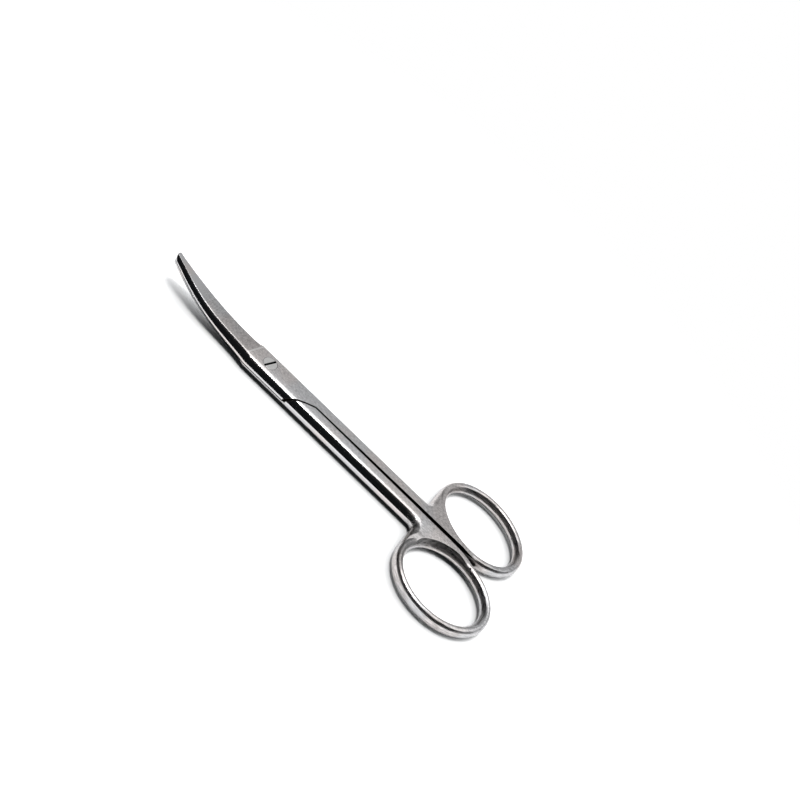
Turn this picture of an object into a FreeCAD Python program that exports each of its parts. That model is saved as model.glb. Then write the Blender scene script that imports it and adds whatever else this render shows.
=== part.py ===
import FreeCAD, Part
import Sketcher
import math
import os

# Ring scissors with curved blades: two forged halves that lap each other at a slotted screw.
# The pivot stands on the origin, +X runs back to the finger rings, the blades reach to -X and
# rise towards their tips, and the underside of the joint and shanks lies on z = 0.

doc = FreeCAD.newDocument("RingScissors")
sheet = doc.addObject("Spreadsheet::Sheet", "Sizes")

drivingSizes = [
    # closed bar: the joint and the two shanks side by side
    ("barThickness", 5.2, "height of joint and shanks"),
    ("barWidth", 10.4, "width of the closed pair at half height"),
    ("flankBelly", 2.0, "round of the flank at half height"),
    ("flankBellyTurn", 22.0, "slope of the flank where that round ends, degrees"),
    ("flankCorner", 1.6, "round between flank and flat"),
    ("flankCornerTurn", 65.0, "slope of the flank where that round starts, degrees"),
    ("barFront", 5.5, "pivot to where the blades start to narrow and curve"),
    ("seamAtJoint", 0.3, "gap between the shanks behind the joint"),
    ("lapGap", 0.12, "running gap between the lapping faces"),
    # S shaped shoulder of the lap
    ("shoulderSide", 10.3, "pivot to the shoulder at the flank"),
    ("shoulderKink", 18.6, "pivot to the shoulder's end on the seam"),
    ("shoulderBow", 30.0, "radius of the two bows of the shoulder"),
    ("shoulderGap", 0.3, "gap at the shoulder along the shank"),
    # curved blades
    ("bladeReach", 41.0, "pivot to the tips"),
    ("bladeBend", 85.0, "radius of the lap face along the curved blades"),
    ("waistReach", 10.5, "pivot to the waist"),
    ("waistWidth", 8.8, "blade width at the waist"),
    ("waistFlat", 5.3, "twice the outer face's reach to the cutting edge side at the waist"),
    ("waistDepth", 2.45, "thickness of one blade at the waist"),
    ("bellyReach", 20.5, "pivot to the belly"),
    ("bellyWidth", 7.6, "blade width at the belly"),
    ("bellyFlat", 4.9, "as waistFlat, at the belly"),
    ("bellyDepth", 2.05, "thickness of one blade at the belly"),
    ("taperReach", 32.0, "pivot to the taper"),
    ("taperWidth", 5.4, "blade width at the taper"),
    ("taperFlat", 3.5, "as waistFlat, at the taper"),
    ("taperDepth", 1.7, "thickness of one blade at the taper"),
    ("noseWidth", 2.8, "blade width at the nose, just past the tip"),
    ("noseFlat", 1.4, "as waistFlat, at the nose"),
    ("noseDepth", 1.3, "thickness of one blade at the nose"),
    ("tipWidth", 3.0, "width where the round of the tip starts"),
    ("tipRadius", 1.55, "round of the blunt tip in plan"),
    ("hollowDepth", 0.08, "hollow grinding of the inner face"),
    ("bladeCorner", 0.5, "round between a blade's back and its outer face, at full thickness"),
    ("bevelRadius", 40.0, "belly of the bevel at the cutting edge"),
    # finger rings
    ("ringCentre", 80.8, "pivot to the middle of a ring"),
    ("ringGap", 1.3, "gap between the closed rings"),
    ("ringLength", 31.5, "ring length, on the crest of the wire"),
    ("ringWidth", 24.3, "ring width, on the crest of the wire"),
    ("ringLean", 5.0, "lean of the ring's long axis to the seam, degrees"),
    ("wireHeight", 4.2, "height of the ring's wire"),
    ("wireOuterBelly", 3.2, "round of the wire's outer side at half height"),
    ("wireOuterCorner", 1.0, "round of the crest on the outer side"),
    ("wireOuterTurn", 53.0, "slope of the outer side where the crest's round starts, degrees"),
    ("wireInnerBelly", 1.05, "round of the wire's inner side at half height"),
    ("wireInnerCorner", 1.1, "round of the crest on the inner side"),
    ("wireInnerTurn", 42.0, "slope of the inner side where the crest's round starts, degrees"),
    # neck between shank and ring
    ("neckFront", 63.6, "pivot to the front of the neck"),
    ("neckNotch", 1.7, "round of the notch between shank and neck"),
    ("neckHeight", 3.3, "height at which the neck runs out in the wire"),
    ("neckTail", 92.0, "pivot to where the neck runs out along the ring"),
    ("neckTailBow", 15.0, "radius of that end in plan"),
    ("neckInset", 0.25, "neck's edge behind the widest point of the ring"),
    ("neckWallInset", 0.03, "neck's wall round the opening behind the wire's own"),
    ("neckSlope", 77.0, "pivot to where the neck starts to thin down"),
    ("neckSink", 30.0, "radius of the thinning along the neck"),
    ("neckSideSlope", 7.0, "seam to where the neck starts to thin down sideways"),
    ("neckSideSink", 7.5, "radius of the thinning out to the side of the ring"),
    # joint screw
    ("headDiameter", 4.5, "screw head"),
    ("headDepth", 1.3, "depth of the screw head"),
    ("headGap", 0.08, "running gap round and under the head"),
    ("pivotDiameter", 2.8, "plain pivot of the screw"),
    ("pivotGap", 0.04, "running gap round the pivot"),
    ("threadDiameter", 2.4, "threaded end"),
    ("threadGap", 0.02, "fit of the threaded end"),
    ("slotWidth", 0.55, "driver slot"),
    ("slotDepth", 0.6, "driver slot"),
    ("slotAngle", 71.0, "driver slot, from the long axis, degrees"),
]

for row, (alias, number, note) in enumerate(drivingSizes, start=1):
    sheet.set("A%d" % row, note)
    sheet.set("B%d" % row, str(number))
    sheet.setAlias("B%d" % row, alias)
doc.recompute()


# A length that knows its number and the expression that ties it to the sheet.
class Size:
    def __init__(self, number, text):
        self.number = number
        self.text = text

    def __add__(self, other):
        other = sized(other)
        return Size(self.number + other.number, "(%s + %s)" % (self.text, other.text))

    def __sub__(self, other):
        other = sized(other)
        return Size(self.number - other.number, "(%s - %s)" % (self.text, other.text))

    def __mul__(self, other):
        other = sized(other)
        return Size(self.number * other.number, "(%s * %s)" % (self.text, other.text))

    def __truediv__(self, other):
        other = sized(other)
        return Size(self.number / other.number, "(%s / %s)" % (self.text, other.text))

    def __neg__(self):
        return Size(-self.number, "(-1 * %s)" % self.text)


def sized(value):
    if isinstance(value, Size):
        return value
    return Size(float(value), "(%s)" % repr(float(value)))


def size(alias):
    return Size(float(sheet.get(alias)), "Sizes." + alias)


def root(value):
    return Size(math.sqrt(value.number), "sqrt(%s)" % value.text)


def arcSine(value):
    return Size(math.degrees(math.asin(value.number)), "asin(%s)" % value.text)


def cosine(value):
    return Size(math.cos(math.radians(value.number)), "cos(%s)" % value.text)


def sine(value):
    return Size(math.sin(math.radians(value.number)), "sin(%s)" % value.text)


def bowRadius(halfChord, rise):
    return (halfChord * halfChord + rise * rise) / (rise * 2)


# The side of a section, from its widest point at mid height up to the flat or crest: a belly round,
# a nearly straight facet and a corner round, each tangent to the next. Returned are the ends of the
# three, as (in from the widest point, up from mid height), and their radii.
def flank(height, belly, corner, turn):
    start = size("flankBellyTurn")
    lift = sine(turn) - sine(start)
    facet = (height - belly * sine(start) - corner * (sized(1) - sine(turn))) / lift
    bellyEnd = (belly * (sized(1) - cosine(start)), belly * sine(start))
    facetEnd = (bellyEnd[0] + facet * (cosine(start) - cosine(turn)), bellyEnd[1] + facet * lift)
    return [bellyEnd, facetEnd, (facetEnd[0] + corner * cosine(turn), height)], [belly, facet, corner]


def bind(item, path, value):
    value = sized(value)
    item.setExpression(path, value.text)
    return value.number


def sketchOn(body, name, role, lift=0, rise=0, tilt=0):
    plane = [item for item in body.Origin.OriginFeatures if item.Role == role][0]
    sketch = body.newObject("Sketcher::SketchObject", name)
    sketch.AttachmentSupport = (plane, [""])
    sketch.MapMode = "FlatFace"
    turn = FreeCAD.Rotation(FreeCAD.Vector(1, 0, 0), sized(tilt).number or 1)
    sketch.AttachmentOffset = FreeCAD.Placement(FreeCAD.Vector(0, 0, 0), turn)
    bind(sketch, ".AttachmentOffset.Rotation.Angle", tilt)
    bind(sketch, ".AttachmentOffset.Base.z", lift)
    bind(sketch, ".AttachmentOffset.Base.y", rise)
    return sketch


def dimension(sketch, kind, geometry, point, value):
    value = sized(value)
    if point is None:
        number = sketch.addConstraint(Sketcher.Constraint(kind, geometry, value.number))
    else:
        number = sketch.addConstraint(Sketcher.Constraint(kind, -1, 1, geometry, point, value.number))
    sketch.setExpression("Constraints[%d]" % number, value.text)


# An arc from one corner to the next, given its radius: positive bows to the right of the way.
def arcBetween(start, end, radius):
    chord = end - start
    half = chord.Length / 2
    side = FreeCAD.Vector(chord.y, -chord.x, 0).normalize()
    reach = abs(radius)
    rise = reach - math.sqrt(reach * reach - half * half)
    middle = (start + end) * 0.5 + side * math.copysign(rise, radius)
    return Part.Arc(start, middle, end)


# An outline whose corners are (across, up) or (across, up, radius of the edge that follows).
def outline(sketch, corners, closed=True):
    points = [FreeCAD.Vector(sized(corner[0]).number, sized(corner[1]).number, 0) for corner in corners]
    starts = []
    edges = corners if closed else corners[:-1]
    for index, corner in enumerate(edges):
        here = points[index]
        there = points[(index + 1) % len(points)]
        if len(corner) == 2:
            geometry = sketch.addGeometry(Part.LineSegment(here, there))
            starts.append((geometry, 1, 2))
            continue
        radius = sized(corner[2])
        arc = arcBetween(here, there, radius.number)
        geometry = sketch.addGeometry(arc)
        turned = sketch.getPoint(geometry, 1).distanceToPoint(here) > 1e-6
        starts.append((geometry, 2, 1) if turned else (geometry, 1, 2))
        flat = -radius if radius.number < 0 else radius
        dimension(sketch, "Radius", geometry, None, flat)
    for index, (geometry, first, last) in enumerate(starts):
        dimension(sketch, "DistanceX", geometry, first, corners[index][0])
        dimension(sketch, "DistanceY", geometry, first, corners[index][1])
        if closed or index + 1 < len(starts):
            following = starts[(index + 1) % len(starts)]
            joint = Sketcher.Constraint("Coincident", geometry, last, following[0], following[1])
            sketch.addConstraint(joint)
        else:
            dimension(sketch, "DistanceX", geometry, last, corners[-1][0])
            dimension(sketch, "DistanceY", geometry, last, corners[-1][1])


def pad(body, name, sketch, length, reversed=False):
    feature = body.newObject("PartDesign::Pad", name)
    feature.Profile = sketch
    feature.Reversed = reversed
    feature.Length = bind(feature, "Length", length)
    return feature


def pocket(body, name, sketch, length, reversed=False, both=False):
    doc.recompute()
    before = body.Shape.Volume
    feature = body.newObject("PartDesign::Pocket", name)
    feature.Profile = sketch
    feature.Reversed = reversed
    feature.Midplane = both
    feature.Length = bind(feature, "Length", length)
    doc.recompute()
    if feature.Shape.Volume > before - 1e-3:
        raise RuntimeError(name + " cuts nothing")
    return feature


# Shared places and fits
margin = 2
middle = size("barThickness") / 2
halfBar = size("barWidth") / 2
halfLap = size("lapGap") / 2
pastSide = halfBar + margin
pastTop = size("barThickness") + margin
barEnd = size("neckFront") + size("neckNotch")
halfNeck = size("neckHeight") / 2
halfWire = size("wireHeight") / 2
wireOuter = flank(halfWire, size("wireOuterBelly"), size("wireOuterCorner"), size("wireOuterTurn"))
wireInner = flank(halfWire, size("wireInnerBelly"), size("wireInnerCorner"), size("wireInnerTurn"))
leanAcross = size("ringWidth") / 2 * cosine(size("ringLean"))
leanAlong = size("ringLength") / 2 * sine(size("ringLean"))
halfRingGap = size("ringGap") / 2
ringSide = halfRingGap + wireOuter[0][2][0] + root(leanAcross * leanAcross + leanAlong * leanAlong)


# Half the gap between the two halves, at a place along the seam.
def seamAt(place):
    start = size("seamAtJoint") / 2
    share = (place - size("shoulderKink")) / (size("ringCentre") - size("shoulderKink"))
    return start + (halfRingGap - start) * share


def halfBody(name, side):
    body = doc.addObject("PartDesign::Body", name)
    body.Label = name
    slab(body, name, side)
    flanks(body, name, side)
    thinning(body, name, side)
    lap(body, name, side)
    blade(body, name, side)
    ring(body, name, side)
    return body


# Joint, shank and the neck that carries the ring, as one plate. The neck's front stands across the
# shank, and its inner edge follows the seam until it runs out along the ring.
def slab(body, name, side):
    sketch = sketchOn(body, name + "_plan", "XY_Plane")
    notch = size("neckNotch")
    bow = size("neckTailBow")
    tail = size("neckTail") - size("ringCentre")
    tailRise = bow - root(bow * bow - tail * tail)
    tailSide = halfRingGap + size("neckInset")
    corners = [
        (-size("barFront"), halfBar * -side),
        (barEnd, halfBar * -side),
        (barEnd, seamAt(barEnd) * side),
        (size("ringCentre"), tailSide * side, bow * side),
        (size("neckTail"), (tailSide + tailRise) * side),
        (size("neckTail"), ringSide * side),
        (size("neckFront"), ringSide * side),
        (size("neckFront"), (halfBar + notch) * side, notch * -side),
        (size("neckFront") - notch, halfBar * side),
        (-size("barFront"), halfBar * side),
    ]
    outline(sketch, corners)
    pad(body, name + "_slab", sketch, size("barThickness"))


# What is taken off one side of the plate to leave the rounded flank.
def flankTool(body, name, side, clear):
    sketch = sketchOn(body, name, "YZ_Plane", lift=-size("barFront"))
    ends, radii = flank(middle, size("flankBelly"), size("flankCorner"), size("flankCornerTurn"))
    belly, facet, corner = [radius * -side for radius in radii]
    top = size("barThickness")
    corners = [
        ((halfBar + clear) * side, -clear),
        ((halfBar + clear) * side, top + clear),
        ((halfBar - ends[2][0]) * side, top + clear),
        ((halfBar - ends[2][0]) * side, top, corner),
        ((halfBar - ends[1][0]) * side, middle + ends[1][1], facet),
        ((halfBar - ends[0][0]) * side, middle + ends[0][1], belly),
        ((halfBar - ends[0][0]) * side, middle - ends[0][1], facet),
        ((halfBar - ends[1][0]) * side, middle - ends[1][1], corner),
        ((halfBar - ends[2][0]) * side, 0),
        ((halfBar - ends[2][0]) * side, -clear),
    ]
    outline(sketch, corners)
    return sketch


# The shank's own flank runs on round the notch and along the neck's front; the other is straight.
def flanks(body, name, side):
    notch = size("neckNotch")
    path = sketchOn(body, name + "_flank_path", "XY_Plane")
    corners = [
        (-size("barFront"), halfBar * side),
        (size("neckFront") - notch, halfBar * side, notch * side),
        (size("neckFront"), (halfBar + notch) * side),
        (size("neckFront"), ringSide * side),
    ]
    outline(path, corners, closed=False)
    tool = flankTool(body, name + "_flank_outline", side, notch / 2)
    doc.recompute()
    edges = ["Edge1", "Edge2", "Edge3"]
    sweepAlong(body, name + "_flank", "PartDesign::SubtractivePipe", tool, path, edges)
    tool = flankTool(body, name + "_far_flank_outline", -side, sized(margin))
    length = size("barFront") + size("shoulderKink") + margin
    pocket(body, name + "_far_flank", tool, length, reversed=True)


# A slope of two equal bows from one level to the next, and the closed region beyond it.
def slope(start, level, drop, sink, way, side=1):
    run = root(sink * sink * 4 - (sink * 2 - drop) * (sink * 2 - drop))
    end = start + run
    past = end + size("neckFront")
    return [
        (start * side, level, sink * (way * side)),
        ((start + run / 2) * side, level + drop / 2 * way, sink * (-way * side)),
        (end * side, level + drop * way),
        (past * side, level + drop * way),
        (past * side, level - sized(margin * way)),
        (start * side, level - sized(margin * way)),
    ]


# Top and underside slope down to the ring's height, both along the shank and out to the ring.
def thinning(body, name, side):
    drop = middle - halfNeck
    for word, level, way in (("top", size("barThickness"), -1), ("under", sized(0), 1)):
        along = sketchOn(body, name + "_slope_" + word, "XZ_Plane")
        outline(along, slope(size("neckSlope"), level, drop, size("neckSink"), way))
        pocket(body, name + "_thinning_" + word, along, pastSide * 2, both=True)
        across = sketchOn(body, name + "_side_slope_" + word, "YZ_Plane", lift=size("neckFront") / 2)
        outline(across, slope(size("neckSideSlope"), level, drop, size("neckSideSink"), way, side))
        pocket(body, name + "_side_thinning_" + word, across, size("neckTail"), reversed=True)


# Places along the S shaped shoulder, from outside the flank to the seam.
def shoulder(side, shift):
    first = size("shoulderSide") + shift
    last = size("shoulderKink") + shift
    seam = seamAt(last)
    bow = size("shoulderBow")
    outer = first - (last - first) / (halfBar - seam) * margin
    return [
        (outer, pastSide * side, bow * -side),
        ((outer + last) / 2, (pastSide + seam) / 2 * side, bow * side),
        (last, seam * side),
    ]


def lap(body, name, side):
    lower = side < 0
    level = middle + halfLap * side
    rear = size("shoulderGap") / 2
    front = -size("barFront") - margin
    past = barEnd + margin
    seamEnd = (past, seamAt(past) * side)
    farEnd = (past, pastSide * -side)
    # the other half's leaf lies over this one, ahead of the shoulder
    sketch = sketchOn(body, name + "_leaf_outline", "XY_Plane", lift=level)
    corners = [(front, pastSide * side)] + shoulder(side, rear)
    corners += [seamEnd, farEnd, (front, pastSide * -side)]
    outline(sketch, corners)
    pocket(body, name + "_leaf", sketch, pastTop, reversed=lower)
    # and the other shank fills the far side behind the mirrored shoulder
    sketch = sketchOn(body, name + "_gap_outline", "XY_Plane", lift=level)
    kink = size("shoulderKink") - rear
    corners = shoulder(-side, -rear) + [(kink, seamAt(kink) * side), seamEnd, farEnd]
    outline(sketch, corners)
    pocket(body, name + "_gap", sketch, pastTop, reversed=not lower)


# One curved blade, lofted through five sections that stand square to the bent lap face: a rounded
# back, a flat outer face and a bevel down to the cutting edge on the shank's own side.
def blade(body, name, side):
    front = size("barFront")
    nose = size("bladeReach") + size("noseDepth")
    reaches = [size("waistReach"), size("bellyReach"), size("taperReach"), nose]
    places = ["waist", "belly", "taper", "nose"]
    sketches = [station(body, name + "_station_joint", side, front, None)]
    for place, reach in zip(places, reaches):
        sketches.append(station(body, name + "_station_" + place, side, reach, place))
    doc.recompute()
    loft = body.newObject("PartDesign::AdditiveLoft", name + "_blade")
    loft.Profile = sketches[0]
    loft.Sections = sketches[1:]
    doc.recompute()
    tip = sketchOn(body, name + "_tip_outline", "XY_Plane")
    chord = size("tipWidth") / 2
    radius = size("tipRadius")
    start = -(size("bladeReach") - radius + root(radius * radius - chord * chord))
    corners = [
        (start, -chord, -radius),
        (start, chord),
        (start + pastSide - chord, pastSide),
        (start - pastSide, pastSide),
        (start - pastSide, -pastSide),
        (start + pastSide - chord, -pastSide),
    ]
    outline(tip, corners)
    pocket(body, name + "_tip", tip, nose, reversed=True)


# One section of the blade. At the joint it is half the bar's own section.
def station(body, name, side, reach, place):
    bend = size("bladeBend")
    ahead = reach - size("barFront")
    rise = middle + bend - root(bend * bend - ahead * ahead)
    sketch = sketchOn(body, name, "YZ_Plane", -reach, rise, arcSine(ahead / bend))
    if place is None:
        half, depth, share = halfBar, middle, sized(1)
        cornerRound, hollow = size("flankCorner"), halfLap / 4
    else:
        half, depth = size(place + "Width") / 2, size(place + "Depth")
        share = depth / middle
        cornerRound, hollow = size("bladeCorner") * share, size("hollowDepth")
    belly = size("flankBelly") * share
    ends, radii = flank(depth, belly, cornerRound, size("flankCornerTurn"))
    foot = half - belly + root(belly * belly - halfLap * halfLap)
    back = [
        ((half - ends[2][0]) * -side, ends[2][1] * side, radii[2]),
        ((half - ends[1][0]) * -side, ends[1][1] * side, radii[1]),
        ((half - ends[0][0]) * -side, ends[0][1] * side, radii[0]),
    ]
    if place is None:
        edge = [
            (foot * side, halfLap * side, radii[0]),
            ((half - ends[0][0]) * side, ends[0][1] * side, radii[1]),
            ((half - ends[1][0]) * side, ends[1][1] * side, radii[2]),
            ((half - ends[2][0]) * side, ends[2][1] * side),
        ]
    else:
        flat = size(place + "Flat") / 2
        bevel = size("bevelRadius")
        lean = (foot - flat) / 3
        climb = (depth - halfLap) / 3
        edge = [
            (foot * side, halfLap * side, bevel),
            ((foot - lean) * side, (halfLap + climb) * side, bevel),
            ((flat + lean) * side, (depth - climb) * side, bevel),
            (flat * side, depth * side),
        ]
    # the cutting edge is on the shank's own side, the rounded back on the other
    outline(sketch, edge + back + [(foot * -side, halfLap * side, -bowRadius(foot, hollow))])
    return sketch


# An oval by its centre, its two lengths and the lean of the long one.
def oval(sketch, across, up, long, short, lean):
    centre = FreeCAD.Vector(across.number, up.number, 0)
    angle = math.radians(lean.number)
    longWay = FreeCAD.Vector(math.cos(angle), math.sin(angle), 0) * (long.number / 2)
    shortWay = FreeCAD.Vector(-math.sin(angle), math.cos(angle), 0) * (short.number / 2)
    geometry = sketch.addGeometry(Part.Ellipse(centre + longWay, centre + shortWay, centre))
    sketch.exposeInternalGeometry(geometry)
    dimension(sketch, "DistanceX", geometry, 3, across)
    dimension(sketch, "DistanceY", geometry, 3, up)
    dimension(sketch, "Distance", geometry + 1, None, long)
    dimension(sketch, "Distance", geometry + 2, None, short)
    turn = Sketcher.Constraint("Angle", geometry + 1, angle)
    number = sketch.addConstraint(turn)
    sketch.setExpression("Constraints[%d]" % number, "%s * 1 deg" % lean.text)


def ring(body, name, side):
    place = ringSide * side
    lean = size("ringLean") * -side
    opening = sketchOn(body, name + "_ring_opening", "XY_Plane")
    inset = (wireInner[0][2][0] + sized(margin) / 2) * 2
    oval(opening, size("ringCentre"), place, size("ringLength") - inset, size("ringWidth") - inset, lean)
    pocket(body, name + "_opening", opening, pastTop, reversed=True)
    path = sketchOn(body, name + "_ring_path", "XY_Plane", lift=middle)
    oval(path, size("ringCentre"), place, size("ringLength"), size("ringWidth"), lean)
    doc.recompute()
    centre = FreeCAD.Vector(size("ringCentre").number, place.number, middle.number)
    wall = acrossPath(body, name + "_wall", path, centre, wallTool)
    sweepAlong(body, name + "_opening_wall", "PartDesign::SubtractivePipe", wall, path, ["Edge1"])
    wire = acrossPath(body, name + "_wire", path, centre, wireSection)
    sweepAlong(body, name + "_ring", "PartDesign::AdditivePipe", wire, path, ["Edge1"])


# A sketch that stands across a closed path, drawn by a function that is told which way is outward.
def acrossPath(body, name, path, centre, draw):
    sketch = body.newObject("Sketcher::SketchObject", name)
    sketch.AttachmentSupport = (path, ["Edge1"])
    sketch.MapMode = "NormalToEdge"
    doc.recompute()
    across = sketch.Placement.Rotation.multVec(FreeCAD.Vector(1, 0, 0))
    outward = 1 if across.dot(sketch.Placement.Base - centre) > 0 else -1
    outline(sketch, draw(outward))
    doc.recompute()
    return sketch


def sweepAlong(body, name, kind, profile, path, edges):
    sweep = body.newObject(kind, name)
    sweep.Profile = profile
    sweep.Spine = (path, edges)
    sweep.Mode = "Binormal"
    sweep.Binormal = FreeCAD.Vector(0, 0, 1)
    doc.recompute()


# What is cleared inside the ring. Its wall is the wire's own inner side, carried on at the slope of
# its upper end through the thicker neck.
def wallTool(outward):
    ends, radii = wireInner
    width = ends[2][0] - size("neckWallInset")
    belly, facet = [radius * outward for radius in radii[:2]]
    turn = size("wireInnerTurn")
    clear = middle + sized(margin) / 4
    past = width - ends[1][0] - (clear - ends[1][1]) * sine(turn) / cosine(turn)
    inner = width + sized(margin)
    return [
        (inner * -outward, clear),
        (inner * -outward, -clear),
        (past * -outward, -clear),
        ((width - ends[1][0]) * -outward, -ends[1][1], facet),
        ((width - ends[0][0]) * -outward, -ends[0][1], belly),
        ((width - ends[0][0]) * -outward, ends[0][1], facet),
        ((width - ends[1][0]) * -outward, ends[1][1]),
        (past * -outward, clear),
    ]


# The wire's section: nearly round outside, and sloped to a soft edge inside, where the finger goes.
def wireSection(outward):
    corners = []
    for (ends, radii), way in ((wireOuter, 1), (wireInner, -1)):
        width = ends[2][0]
        belly, facet, crest = [radius * -outward for radius in radii]
        corners += [
            (0, halfWire * way, crest),
            ((width - ends[1][0]) * (way * outward), ends[1][1] * way, facet),
            ((width - ends[0][0]) * (way * outward), ends[0][1] * way, belly),
            ((width - ends[0][0]) * (way * outward), ends[0][1] * -way, facet),
            ((width - ends[1][0]) * (way * outward), ends[1][1] * -way, crest),
        ]
    return corners


def circlePocket(body, name, lift, diameter, depth, reversed=False):
    sketch = sketchOn(body, name + "_circle", "XY_Plane", lift=lift)
    circle = Part.Circle(FreeCAD.Vector(0, 0, 0), FreeCAD.Vector(0, 0, 1), (diameter / 2).number)
    geometry = sketch.addGeometry(circle)
    sketch.addConstraint(Sketcher.Constraint("Coincident", geometry, 3, -1, 1))
    dimension(sketch, "Diameter", geometry, None, diameter)
    return pocket(body, name, sketch, depth, reversed)


lower = halfBody("lower_half", -1)
circlePocket(lower, "thread_hole", sized(0), size("threadDiameter") + size("threadGap") * 2, pastTop, True)

upper = halfBody("upper_half", 1)
circlePocket(upper, "pivot_hole", sized(0), size("pivotDiameter") + size("pivotGap") * 2, pastTop, True)
headSeat = size("headDepth") + size("headGap")
circlePocket(upper, "head_seat", size("barThickness"), size("headDiameter") + size("headGap") * 2, headSeat)


def jointScrew(name):
    body = doc.addObject("PartDesign::Body", name)
    body.Label = name
    sketch = sketchOn(body, name + "_profile", "XZ_Plane")
    top = size("barThickness")
    underHead = top - size("headDepth")
    seat = middle - halfLap
    corners = [
        (0, 0),
        (size("threadDiameter") / 2, 0),
        (size("threadDiameter") / 2, seat),
        (size("pivotDiameter") / 2, seat),
        (size("pivotDiameter") / 2, underHead),
        (size("headDiameter") / 2, underHead),
        (size("headDiameter") / 2, top),
        (0, top),
    ]
    outline(sketch, corners)
    turned = body.newObject("PartDesign::Revolution", name + "_turned")
    turned.Profile = sketch
    turned.ReferenceAxis = (sketch, ["V_Axis"])
    turned.Angle = 360
    doc.recompute()
    slot = sketchOn(body, name + "_slot_outline", "XY_Plane", lift=top)
    angle = size("slotAngle")
    half = size("slotWidth") / 2
    long = size("headDiameter")
    ends = ((long, -half), (long, half), (-long, half), (-long, -half))
    corners = [
        (away * cosine(angle) - aside * sine(angle), away * sine(angle) + aside * cosine(angle))
        for away, aside in ends
    ]
    outline(slot, corners)
    pocket(body, name + "_slot", slot, size("slotDepth"))
    return body


screw = jointScrew("joint_screw")
doc.recompute()

for item in doc.Objects:
    if "Invalid" in item.State or "Error" in item.State:
        raise RuntimeError("%s failed: %s" % (item.Name, item.State))

os.makedirs("parts", exist_ok=True)
for body in (lower, upper, screw):
    shape = body.Shape
    if shape.isNull() or not shape.isValid() or len(shape.Solids) != 1:
        raise RuntimeError(body.Label + " is not one valid solid")
    shape.exportStep("parts/%s.step" % body.Label)
    print(body.Label, "volume", round(shape.Volume, 2), "faces", len(shape.Faces))
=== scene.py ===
import bpy
import math
from mathutils import Matrix, Vector

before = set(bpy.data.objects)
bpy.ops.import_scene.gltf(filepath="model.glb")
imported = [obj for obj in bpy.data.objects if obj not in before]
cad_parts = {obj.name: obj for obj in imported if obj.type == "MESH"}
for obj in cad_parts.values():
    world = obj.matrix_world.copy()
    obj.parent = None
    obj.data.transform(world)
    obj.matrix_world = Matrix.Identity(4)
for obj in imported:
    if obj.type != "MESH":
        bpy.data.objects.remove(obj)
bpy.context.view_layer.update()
print("frame loaded:", sorted(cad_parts))


def linearColour(hexValue):
    channels = [int(hexValue[start:start + 2], 16) / 255 for start in (1, 3, 5)]
    return [c / 12.92 if c <= 0.04045 else ((c + 0.055) / 1.055) ** 2.4 for c in channels] + [1.0]


# one node with its settings and its inputs, each a plain value, an output or a Field
def addNode(tree, kind, settings=None, inputs=None):
    node = tree.nodes.new("ShaderNode" + kind)
    for key, value in (settings or {}).items():
        setattr(node, key, value)
    for key, value in (inputs or {}).items():
        source = getattr(value, "socket", value)
        if isinstance(source, bpy.types.NodeSocket):
            tree.links.new(source, node.inputs[key])
        else:
            node.inputs[key].default_value = source
    return node


# A number or a vector that varies over a surface. Each step of a formula adds its node.
class Field:
    def __init__(self, socket):
        self.socket = socket
        self.tree = socket.id_data

    def step(self, operation, *others):
        terms = dict(enumerate((self,) + others))
        return Field(addNode(self.tree, "Math", {"operation": operation}, terms).outputs[0])

    def __add__(self, other):
        return self.step("ADD", other)

    def __sub__(self, other):
        return self.step("SUBTRACT", other)

    def __rsub__(self, other):
        return self.step("MULTIPLY_ADD", -1.0, other)

    def __mul__(self, other):
        return self.step("MULTIPLY", other)

    def __truediv__(self, other):
        return self.step("DIVIDE", other)

    def __abs__(self):
        return self.step("ABSOLUTE")

    def root(self):
        return self.step("SQRT")

    def atLeast(self, other):
        return self.step("MAXIMUM", other)

    def atMost(self, other):
        return self.step("MINIMUM", other)

    # what lies between two values at this share
    def between(self, first, last):
        return self.step("MULTIPLY_ADD", last - first, first)

    # runs smoothly from first to last while the number passes from one limit to the other
    def fade(self, limits, first=0.0, last=1.0):
        node = addNode(self.tree, "MapRange", {"interpolation_type": "SMOOTHSTEP"},
                       {"Value": self, "From Min": limits[0], "From Max": limits[1],
                        "To Min": first, "To Max": last})
        return Field(node.outputs["Result"])

    def fadeOut(self, limits):
        return self.fade(limits, 1.0, 0.0)

    def distance(self, point):
        node = addNode(self.tree, "VectorMath", {"operation": "DISTANCE"}, {0: self, 1: point})
        return Field(node.outputs["Value"])


# colours laid over one another from the bottom up, each with its way of mixing and its share
def layered(tree, base, layers):
    for way, share, colour in layers:
        mix = addNode(tree, "Mix", {"data_type": "RGBA", "blend_type": way}, {0: share, 6: base, 7: colour})
        base = mix.outputs[2]
    return base


def newMaterial(name):
    material = bpy.data.materials.new(name)
    material.use_nodes = True
    material.node_tree.nodes.clear()
    return material, material.node_tree


def addObject(name, data):
    added = bpy.data.objects.new(name, data)
    bpy.context.scene.collection.objects.link(added)
    return added


# camera: above the near shank, rolled so that the scissors lie across the frame's diagonal
cameraView = {
    "place": (0.0352, -0.18963, 0.18903),  # metres, in the scissors' own frame
    "elevation": 40.0,
    "roll": 44.0,
    "focalPixels": 888.0,  # of the 800 pixel frame
    "framePixels": 800.0,
    "sensorWidth": 36.0,
    "clipNear": 0.01,
    "clipFar": 20.0,
}

elevation = math.radians(cameraView["elevation"])
roll = math.radians(cameraView["roll"])
ahead = Vector((0, math.cos(elevation), -math.sin(elevation)))
level = Vector((1, 0, 0))
upright = Vector((0, math.sin(elevation), math.cos(elevation)))
imageRight = level * math.cos(roll) + upright * math.sin(roll)
imageUp = upright * math.cos(roll) - level * math.sin(roll)
turn = Matrix((imageRight, imageUp, -ahead)).transposed()

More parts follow.
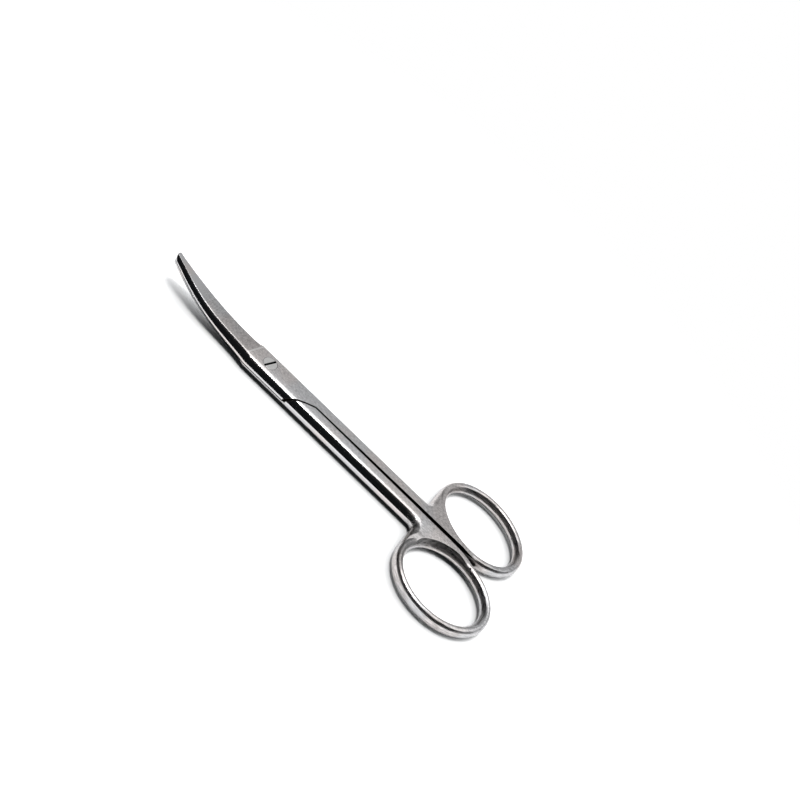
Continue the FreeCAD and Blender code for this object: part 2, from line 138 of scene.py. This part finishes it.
cameraData = bpy.data.cameras.new("camera")
cameraData.sensor_width = cameraView["sensorWidth"]
cameraData.lens = cameraView["focalPixels"] / cameraView["framePixels"] * cameraView["sensorWidth"]
cameraData.clip_start = cameraView["clipNear"]
cameraData.clip_end = cameraView["clipFar"]
camera = addObject("camera", cameraData)
camera.matrix_world = Matrix.Translation(Vector(cameraView["place"])) @ turn.to_4x4()
bpy.context.scene.camera = camera
print("camera placed")


# light: a wide softbox overhead, a small key lamp that draws the blades' shadow, and a room that is
# pale behind the scissors and dark on the camera's side; lengths in metres
studio = {
    "softboxHeight": 0.6,
    "softboxAlong": 0.24,  # its middle, along the scissors
    "softboxFront": -0.11,  # the edge on the camera's side
    "softboxBack": 0.24,
    "softboxLength": 1.1,
    "softboxGlow": 1.5,  # radiance; 1 shows as white
    "keyPlace": (-0.02, -0.07, 0.6),
    "keySize": 0.15,
    "keyGlow": 20.0,
    "roomBack": "#CACBCC",
    "roomFront": "#17191B",
    "roomDirection": (0.35, 0.94, 0.0),  # from the dark side to the pale one
    "roomFade": (-0.15, 0.8),  # cosines with that direction, between which dark turns to pale
    "roomOnPaper": 1.6,  # extra strength of the room's light on the paper
    "floorReach": 3.0,
    "floorTone": "#ECECEC",
    "floorGain": 1.55,  # how far the paper is overexposed, for the camera and in the steel alone
    "glossyShare": 0.8,  # how much of that the steel mirrors
    "floorMiddle": (0.03, 0.0, 0.0),
    "floorWhite": (0.13, 0.24),  # between these distances from its middle it turns to plain white
}


def areaLamp(name, place, wide, deep, glow):
    data = bpy.data.lights.new(name, "AREA")
    data.shape = "RECTANGLE"
    data.size = wide
    data.size_y = deep
    data.energy = math.pi * wide * deep * glow
    addObject(name, data).location = place


softboxDepth = studio["softboxBack"] - studio["softboxFront"]
softboxPlace = (studio["softboxAlong"], studio["softboxFront"] + softboxDepth / 2, studio["softboxHeight"])
areaLamp("softbox", softboxPlace, studio["softboxLength"], softboxDepth, studio["softboxGlow"])
areaLamp("key", studio["keyPlace"], studio["keySize"], studio["keySize"], studio["keyGlow"])

# room: the camera sees white, and the light it gives is stronger on the paper than on the steel
world = bpy.data.worlds.new("studioRoom")
bpy.context.scene.world = world
world.use_nodes = True
tree = world.node_tree
tree.nodes.clear()
direction = addNode(tree, "TexCoord")
backness = addNode(tree, "VectorMath", {"operation": "DOT_PRODUCT"},
                   {0: direction.outputs["Generated"], 1: studio["roomDirection"]})
paleShare = Field(backness.outputs["Value"]).fade(studio["roomFade"])
roomColour = layered(tree, linearColour(studio["roomFront"]),
                     [("MIX", paleShare, linearColour(studio["roomBack"]))])
rayKind = addNode(tree, "LightPath")
onPaper = Field(rayKind.outputs["Is Diffuse Ray"]).between(1.0, 1.0 + studio["roomOnPaper"])
roomGlow = addNode(tree, "Background", inputs={"Color": roomColour, "Strength": onPaper})
whiteGlow = addNode(tree, "Background", inputs={"Color": (1, 1, 1, 1)})
roomMix = addNode(tree, "MixShader", inputs={0: rayKind.outputs["Is Camera Ray"], 1: roomGlow.outputs[0],
                                             2: whiteGlow.outputs[0]})
addNode(tree, "OutputWorld", inputs={0: roomMix.outputs[0]})

# floor: white matt paper, overexposed as in the photograph so that only the dark of a shadow shows
floorMaterial, tree = newMaterial("whiteMattPaper")
rayKind = addNode(tree, "LightPath")
seen = Field(rayKind.outputs["Is Glossy Ray"]) * studio["glossyShare"] + rayKind.outputs["Is Camera Ray"]
gain = seen.between(1.0, studio["floorGain"])
paperColour = addNode(tree, "VectorMath", {"operation": "SCALE"},
                      {0: linearColour(studio["floorTone"])[:3], "Scale": gain})
paper = addNode(tree, "BsdfDiffuse", inputs={"Color": paperColour.outputs[0]})
away = Field(addNode(tree, "TexCoord").outputs["Object"]).distance(studio["floorMiddle"])
seenPlain = away.fade(studio["floorWhite"]) * rayKind.outputs["Is Camera Ray"]
white = addNode(tree, "Emission", inputs={"Strength": 1.0})
fromAbove = addNode(tree, "MixShader", inputs={0: seenPlain, 1: paper.outputs[0], 2: white.outputs[0]})
# from below the paper is left out, so that the underside can be looked at
below = addNode(tree, "NewGeometry")
clear = addNode(tree, "BsdfTransparent")
oneSided = addNode(tree, "MixShader",
                   inputs={0: below.outputs["Backfacing"], 1: fromAbove.outputs[0], 2: clear.outputs[0]})
addNode(tree, "OutputMaterial", inputs={0: oneSided.outputs[0]})
floorMesh = bpy.data.meshes.new("floor")
reach = studio["floorReach"]
corners = [(-reach, -reach, 0), (reach, -reach, 0), (reach, reach, 0), (-reach, reach, 0)]
floorMesh.from_pydata(corners, [], [(0, 1, 2, 3)])
floorMesh.materials.append(floorMaterial)
floor = addObject("floor", floorMesh)
print("studio lit")


# what both steels share
steelSurface = {
    "bevelSamples": 6,
    "wallLevel": (0.15, 0.35),  # from how level a wall may lie to where it no longer counts as one
    "edgeTurn": (0.9995, 0.97),  # cosine between the true and the rounded normal, from face to edge
    "bumpStrength": 0.5,
    "patternRoughness": 0.6,
    "millimetres": 1000.0,  # in a metre
}


# Where a point lies, in millimetres on the piece itself, and how its face stands. Walls are told by
# the true normal, flats and edges by the rounded one.
def surfacePlace(tree, edgeRound):
    coordinates = addNode(tree, "TexCoord")
    scaled = addNode(tree, "VectorMath", {"operation": "SCALE"},
                     {0: coordinates.outputs["Object"], "Scale": steelSurface["millimetres"]})
    parts = addNode(tree, "SeparateXYZ", inputs={0: scaled.outputs[0]})
    rounded = addNode(tree, "Bevel", {"samples": steelSurface["bevelSamples"]},
                      {"Radius": edgeRound / steelSurface["millimetres"]}).outputs[0]
    facing = addNode(tree, "NewGeometry").outputs["Normal"]
    trueParts = addNode(tree, "SeparateXYZ", inputs={0: facing})
    roundParts = addNode(tree, "SeparateXYZ", inputs={0: rounded})
    cornering = addNode(tree, "VectorMath", {"operation": "DOT_PRODUCT"}, {0: rounded, 1: facing})
    return {
        "whole": Field(scaled.outputs[0]),
        "x": Field(parts.outputs["X"]),
        "y": Field(parts.outputs["Y"]),
        "z": Field(parts.outputs["Z"]),
        "rounded": Field(rounded),
        "wall": abs(Field(trueParts.outputs["Z"])).fadeOut(steelSurface["wallLevel"]),
        "level": abs(Field(roundParts.outputs["Z"])),
        "edge": Field(cornering.outputs["Value"]).fade(steelSurface["edgeTurn"]),
    }


# an uneven pattern, drawn out along the axes with the smaller scales
def pattern(place, scale, detail):
    stretched = addNode(place.tree, "Mapping", inputs={"Vector": place, "Scale": scale})
    texture = addNode(place.tree, "TexNoise", inputs={"Vector": stretched.outputs[0], "Scale": 1.0,
                                                      "Detail": detail,
                                                      "Roughness": steelSurface["patternRoughness"]})
    return Field(texture.outputs["Fac"])


# The metal throws no light back on the paper, as the photograph's contact shadows are plain black.
def finishSteel(tree, look, tone, rough, height, normal):
    bump = addNode(tree, "Bump", inputs={"Strength": steelSurface["bumpStrength"],
                                         "Distance": look["grainDepth"] / steelSurface["millimetres"],
                                         "Height": height, "Normal": normal})
    rayKind = addNode(tree, "LightPath")
    seen = layered(tree, tone, [("MIX", rayKind.outputs["Is Diffuse Ray"], linearColour("#000000"))])
    surface = addNode(tree, "BsdfPrincipled", inputs={"Metallic": 1.0, "Base Color": seen,
                                                      "Roughness": rough, "Normal": bump.outputs[0]})
    addNode(tree, "OutputMaterial", inputs={0: surface.outputs[0]})


# Martensitic stainless steel, forged, belt ground and satin brushed. The flats are matt with short
# grit lines along the shank, the flanks are polished nearly to a mirror, the rings are brushed round.
# Lengths are in millimetres from the pivot, and a pair is where a change begins and ends.
satinSteel = {
    "tone": "#CDCAC8",
    "toneWarm": "#D4CCCA",
    "toneCool": "#C8CACE",
    # the colour of the painted highlight on rounded edges and on the crease across the blade's root
    "edgeHighlight": "#E2E0DE",
    "plainShare": 0.5,  # of the plain tone over the warm and cool cloud
    "cloudScale": (0.09, 0.06, 0.06),  # clouds 11 to 17 mm across
    "cloudDetail": 1.0,
    "cloudFade": (0.4, 0.6),
    "edgeRound": 0.16,
    "flatRoughness": 0.36,
    "flankRoughness": 0.10,
    "ringRoughness": 0.29,
    "darkRoughness": 0.7,
    "grainRoughness": (0.75, 1.25),  # factor on the roughness, from dark to light grain
    "flatStart": 0.955,  # how level a face must be to count as flat
    "flatStartRing": 0.88,
    "flatEnd": 0.992,
    "grainSpacing": 0.4,  # real grit lines of 0.03 mm are drawn coarser so that they show
    "grainLength": 0.9,
    "grainDetail": 3.0,
    "grainDepth": 0.005,
    "streakFade": (0.3, 0.7),
    "streakTone": (-0.26, 0.2),  # how far the grain darkens and lightens the tone
    "ringStreaks": 1.3,  # how far the round grit lines outdo those on the flats
    "ringFinish": (58.0, 64.0),  # the polish gives way to the rings' satin
    "ringTone": 0.9,
    "ringGrain": (64.0, 68.0),  # the grit lines start to run round
    "ringGrainRadius": 12.0,  # turns the ring's shares and angles to millimetres
    "ringGrainStretch": 3.0,
    "ringMiddle": 80.8,
    "ringAside": 11.6,
    "ringLong": 14.0,
    "ringBroad": 10.2,
    "ringLean": 5.0,
    "bladeStart": -6.2,
    "bladeLean": 0.28,  # how far the crease across the blade's root leans
    "bladeFade": (-0.1, 0.25),  # from the crease
    "bladeTone": 0.76,
    "creaseBack": 0.1,
    "creaseFade": (0.12, 0.42),
    # where the near neck turns rough and takes painted shade, and how dark that shade is
    "dullShadeAside": (-7.6, -6.6),
    "dullShadeStart": (60.5, 62.0),
    "dullShadeEnd": (67.0, 70.0),
    "dullShadeLevel": (0.5, 0.75),
    "paintedNeckShade": 0.5,
    "crown": 0.045,  # lean of the belt ground flats for each mm from the seam
    "crownReach": 3.0,
    # a tiny pit on the near ring, not modelled, where painted shade draws a dark spot
    "pitPlace": (84.69, -2.91, 4.49),
    "pitFade": (0.18, 0.36),  # from the middle of the tiny pit on the near ring
}


# grit lines: along the shank, across the blade, and round the ring but for its flats
def gritLines(tree, at, onBlade, flat, look):
    across = 1 / look["grainSpacing"]
    slow = 1 / look["grainLength"]
    shankGrain = pattern(at["whole"], (slow, across, across), look["grainDetail"])
    bladeGrain = pattern(at["whole"], (across, slow, slow), look["grainDetail"])
    lean = math.radians(look["ringLean"])
    fore = at["x"] - look["ringMiddle"]
    side = abs(at["y"]) - look["ringAside"]
    longShare = (fore * math.cos(lean) + side * math.sin(lean)) / look["ringLong"]
    broadShare = (side * math.cos(lean) - fore * math.sin(lean)) / look["ringBroad"]
    outward = (longShare * longShare + broadShare * broadShare).root()
    bearing = broadShare.step("ARCTAN2", longShare)
    ringPlace = addNode(tree, "CombineXYZ", inputs={"X": outward * look["ringGrainRadius"],
                                                    "Y": bearing * look["ringGrainRadius"], "Z": at["z"]})
    ringGrain = pattern(Field(ringPlace.outputs[0]), (across, slow / look["ringGrainStretch"], across),
                        look["grainDetail"])
    roundShare = at["x"].fade(look["ringGrain"]) * (1.0 - flat)
    return roundShare.between(onBlade.between(shankGrain, bladeGrain), ringGrain)


# painted shade: dark on the walls in the seam, at the shoulder and round the screw's head, and in lines
# along the seam, the S shaped shoulder and the lap
gapShadeMarks = {
    # the colour of the painted shade
    "tone": "#141210",
    "seamWall": (1.05, 1.25),
    "seamBegin": (18.2, 19.0),
    "seamEnd": (76.0, 80.0),
    "seamKink": 18.6,  # half the seam there, and how much it opens for each mm
    "seamHalf": 0.15,
    "seamGrowth": 0.00804,
    "seamShade": (0.14, 0.2),
    "shoulderBegin": (9.0, 9.5),
    "shoulderEnd": (19.0, 19.6),
    "shoulderSide": (4.7, 4.9),
    "headWall": (2.5, 2.7),
    "bowCentres": ((-5.58, 20.03, 0.0), (31.19, -27.38, 0.0)),  # of the S shaped shoulder
    "bowRadius": 30.0,
    "bowMeet": 12.81,
    "bowShade": (0.28, 0.36),
    "bowBegin": (9.2, 9.5),
    "bowEnd": (18.6, 18.9),
    "lapHeight": 2.6,
    "lapTurn": (2.59, 2.61),  # above it the marks are those of the upper half, below of the lower
    "lapShade": (0.12, 0.2),
    "lapEnd": (10.2, 10.6),
    "lapLevel": (0.5, 0.7),  # faces that lie more level keep clear of the lap's shade,
    "lapSide": (4.7, 4.8),  # but for those out here
    "bladeFoot": 5.5,  # ahead of the pivot, where the lap face starts to curve up, and its radius
    "bladeBend": 85.0,
}


# the mask of the painted shade in the gaps and the seam
def paintedGapShade(tree, at, marks):
    aside = abs(at["y"])
    seamBegin = at["x"].fade(marks["seamBegin"])
    inSeam = seamBegin * aside.fadeOut(marks["seamWall"])
    atShoulder = at["x"].fade(marks["shoulderBegin"]) * at["x"].fadeOut(marks["shoulderEnd"])
    atShoulder = atShoulder * aside.fadeOut(marks["shoulderSide"])
    atHead = (at["x"] * at["x"] + at["y"] * at["y"]).root().fadeOut(marks["headWall"])
    walls = inSeam.atLeast(atShoulder).atLeast(atHead) * at["wall"]

    # the S shaped shoulder is mirrored on the lower half
    upper = at["z"].fade(marks["lapTurn"], -1.0, 1.0)
    onPlan = Field(addNode(tree, "CombineXYZ", inputs={"X": at["x"], "Y": at["y"] * upper}).outputs[0])
    fromBows = [abs(onPlan.distance(centre) - marks["bowRadius"]) for centre in marks["bowCentres"]]
    fromBow = at["x"].step("GREATER_THAN", marks["bowMeet"]).between(*fromBows)
    bowLine = fromBow.fadeOut(marks["bowShade"])
    bowLine = bowLine * at["x"].fadeOut(marks["bowEnd"]) * at["x"].fade(marks["bowBegin"])

    fromSeam = aside - ((at["x"] - marks["seamKink"]) * marks["seamGrowth"] + marks["seamHalf"])
    seamLine = seamBegin * fromSeam.fadeOut(marks["seamShade"]) * at["x"].fadeOut(marks["seamEnd"])

    bladeAhead = (-marks["bladeFoot"] - at["x"]).atLeast(0.0)
    sunk = (marks["bladeBend"] ** 2 - bladeAhead * bladeAhead).root()
    fromLap = abs(at["z"] - (marks["lapHeight"] + marks["bladeBend"] - sunk))
    outer = at["level"].fadeOut(marks["lapLevel"]).atLeast(aside.fade(marks["lapSide"]))
    lapLine = fromLap.fadeOut(marks["lapShade"]) * at["x"].fadeOut(marks["lapEnd"]) * outer
    return walls.atLeast(bowLine).atLeast(seamLine).atLeast(lapLine)


# The belt leaves the flats a little crowned, so they darken away from the seam.
def crownedNormal(tree, at, flat, look):
    lateral = at["y"].atLeast(-look["crownReach"]).atMost(look["crownReach"])
    crown = addNode(tree, "CombineXYZ", inputs={"Y": lateral * look["crown"] * flat})
    turned = addNode(tree, "VectorTransform",
                     {"vector_type": "VECTOR", "convert_from": "OBJECT", "convert_to": "WORLD"},
                     {"Vector": crown.outputs[0]})
    leaning = addNode(tree, "VectorMath", {"operation": "ADD"}, {0: at["rounded"], 1: turned.outputs[0]})
    return addNode(tree, "VectorMath", {"operation": "NORMALIZE"}, {0: leaning.outputs[0]}).outputs[0]


def brushedSteel(name, look, marks):
    material, tree = newMaterial(name)
    at = surfacePlace(tree, look["edgeRound"])
    onRing = at["x"].fade(look["ringFinish"])
    flatStart = onRing.between(look["flatStart"], look["flatStartRing"])
    flat = at["level"].fade((flatStart, look["flatEnd"]))
    pastCrease = at["y"] * look["bladeLean"] + look["bladeStart"] - at["x"]
    onBlade = pastCrease.fade(look["bladeFade"])
    grain = gritLines(tree, at, onBlade, flat, look)

    # the near neck turns rough towards its ring, and painted shade darkens it there
    dullShade = at["y"].fadeOut(look["dullShadeAside"]) * at["x"].fade(look["dullShadeStart"])
    dullShade = dullShade * at["x"].fadeOut(look["dullShadeEnd"]) * at["level"].fade(look["dullShadeLevel"])
    # painted shade for the tiny pit on the near ring
    pit = at["whole"].distance(look["pitPlace"]).fadeOut(look["pitFade"])
    # painted shade in the gaps and in the pit
    paintedShade = paintedGapShade(tree, at, marks).atLeast(pit)

    # matt flats, bright flanks, satin rings, and dull marks
    bright = onRing.between(look["flankRoughness"], look["ringRoughness"])
    rough = flat.between(bright, look["flatRoughness"]) * grain.between(*look["grainRoughness"])
    rough = rough.atLeast(dullShade * look["flatRoughness"]).atLeast(paintedShade * look["darkRoughness"])

    # a faint warm and cool cloud, the greyer blade, painted highlights on rounded edges and along the
    # crease across the blade's root, painted shade on the near neck and in the gaps
    cloud = pattern(at["whole"], look["cloudScale"], look["cloudDetail"]).fade(look["cloudFade"])
    matt = flat.atLeast(onRing * look["ringStreaks"])
    streaks = grain.fade(look["streakFade"], *look["streakTone"])
    # the crease across the blade's root is drawn as a painted highlight line
    creaseHighlight = abs(pastCrease + look["creaseBack"]).fadeOut(look["creaseFade"])
    tone = layered(tree, linearColour(look["toneWarm"]), [
        ("MIX", cloud, linearColour(look["toneCool"])),
        ("MIX", look["plainShare"], linearColour(look["tone"])),
        ("MULTIPLY", 1.0, (onBlade * flat).between(1.0, look["bladeTone"])),
        ("MULTIPLY", 1.0, onRing.between(1.0, look["ringTone"])),
        ("MULTIPLY", 1.0, streaks * matt + 1.0),
        ("MIX", at["edge"].atLeast(creaseHighlight * flat), linearColour(look["edgeHighlight"])),
        # painted shade on the near neck
        ("MULTIPLY", 1.0, dullShade.between(1.0, look["paintedNeckShade"])),
        # painted shade in the gaps and the pit
        ("MIX", paintedShade, linearColour(marks["tone"])),
    ])
    finishSteel(tree, look, tone, rough, grain * matt, crownedNormal(tree, at, flat, look))
    return material


# The same steel, turned and ground flush. The head is a little brighter than the flat round it; below its
# face and in the slot painted shade darkens it, and a painted highlight runs along one lip. Lengths are in
# millimetres.
turnedSteel = {
    "tone": "#EBE9E7",
    # the colour of the painted shade below the head's face and in the slot
    "paintedShade": "#100F0E",
    # the colour of the painted highlight along one lip of the slot
    "lipHighlightTone": "#F4F2F0",
    "faceRoughness": 0.28,
    "darkRoughness": 0.6,
    "face": (5.07, 5.12),  # below it lie the slot and the side
    "grainSpacing": 0.25,  # drawn coarser than real
    "grainStretch": 5.0,
    "grainDetail": 3.0,
    "grainDepth": 0.004,
    "streakFade": (0.3, 0.7),
    "streakTone": (0.92, 1.05),
    "edgeRound": 0.08,
    "slotAngle": 71.0,
    "slotShade": (0.325, 0.375),  # from the slot's middle
    "lipStart": (0.355, 0.395),
    "lipEnd": (0.515, 0.575),
}


def turnedScrew(name, look):
    material, tree = newMaterial(name)
    at = surfacePlace(tree, look["edgeRound"])
    across = 1 / look["grainSpacing"]
    grain = pattern(at["whole"], (across / look["grainStretch"], across, across), look["grainDetail"])
    slant = math.radians(look["slotAngle"])
    fromSlot = at["x"] * math.sin(slant) - at["y"] * math.cos(slant)
    # painted shade in the slot and below the head's face
    deep = at["z"].fadeOut(look["face"]).atLeast(abs(fromSlot).fadeOut(look["slotShade"]))
    # a painted highlight along one lip of the slot
    lipHighlight = fromSlot.fade(look["lipStart"]) * fromSlot.fadeOut(look["lipEnd"])
    tone = layered(tree, linearColour(look["tone"]), [
        ("MULTIPLY", 1.0, grain.fade(look["streakFade"], *look["streakTone"])),
        ("MIX", lipHighlight, linearColour(look["lipHighlightTone"])),
        ("MIX", deep, linearColour(look["paintedShade"])),
    ])
    rough = (deep * look["darkRoughness"]).atLeast(look["faceRoughness"])
    finishSteel(tree, look, tone, rough, grain, at["rounded"])
    return material


satin = brushedSteel("brushedStainlessSteel", satinSteel, gapShadeMarks)
turned = turnedScrew("turnedStainlessSteel", turnedSteel)

for name, material in (("lower_half", satin), ("upper_half", satin), ("joint_screw", turned)):
    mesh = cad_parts[name].data
    mesh.materials.clear()
    mesh.materials.append(material)
print("steel finished")

bpy.context.scene.view_settings.view_transform = "Standard"
